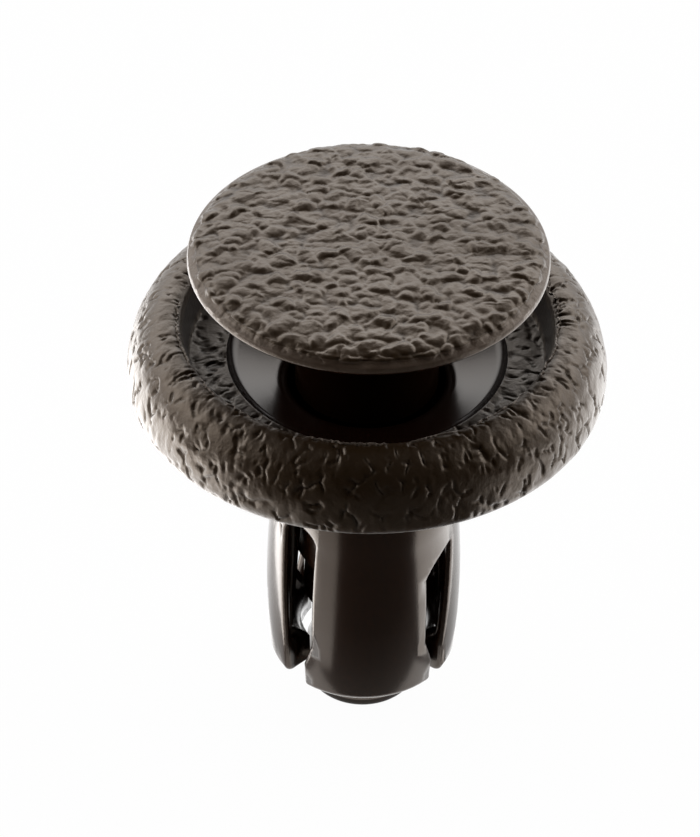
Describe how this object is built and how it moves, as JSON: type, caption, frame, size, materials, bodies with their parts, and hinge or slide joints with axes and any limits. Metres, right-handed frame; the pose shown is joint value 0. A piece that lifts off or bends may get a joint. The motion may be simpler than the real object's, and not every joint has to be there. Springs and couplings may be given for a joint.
{
  "type": "plastic push rivet",
  "caption": "Two-piece push rivet: a domed flange on a slotted shank, and a disc-headed pin that slides in it to spread the legs in a hole.",
  "frame": {"origin": "centre of the shank where it meets the flat seat under the flange", "axes": "+Z along the rivet's axis, towards the head; two of the four legs face -Y and +Y"},
  "size_m": [0.02, 0.02, 0.0244],
  "materials": {
    "body_plastic": "near-black moulded plastic, leather grain on the flange's dome and recess floor, smooth and glossy on the funnel and shank",
    "pin_plastic": "near-black moulded plastic, leather grain on the head's top, smooth and glossy on its side and stem"
  },
  "bodies": {
    "body": {"body": "body_plastic"},
    "pin": {"pin": "pin_plastic"}
  },
  "joints": [
    {"name": "pin_slide", "type": "slide", "parent": "body", "child": "pin", "axis": [0, 0, -1], "range_m": [0, 0.0039]}
  ]
}
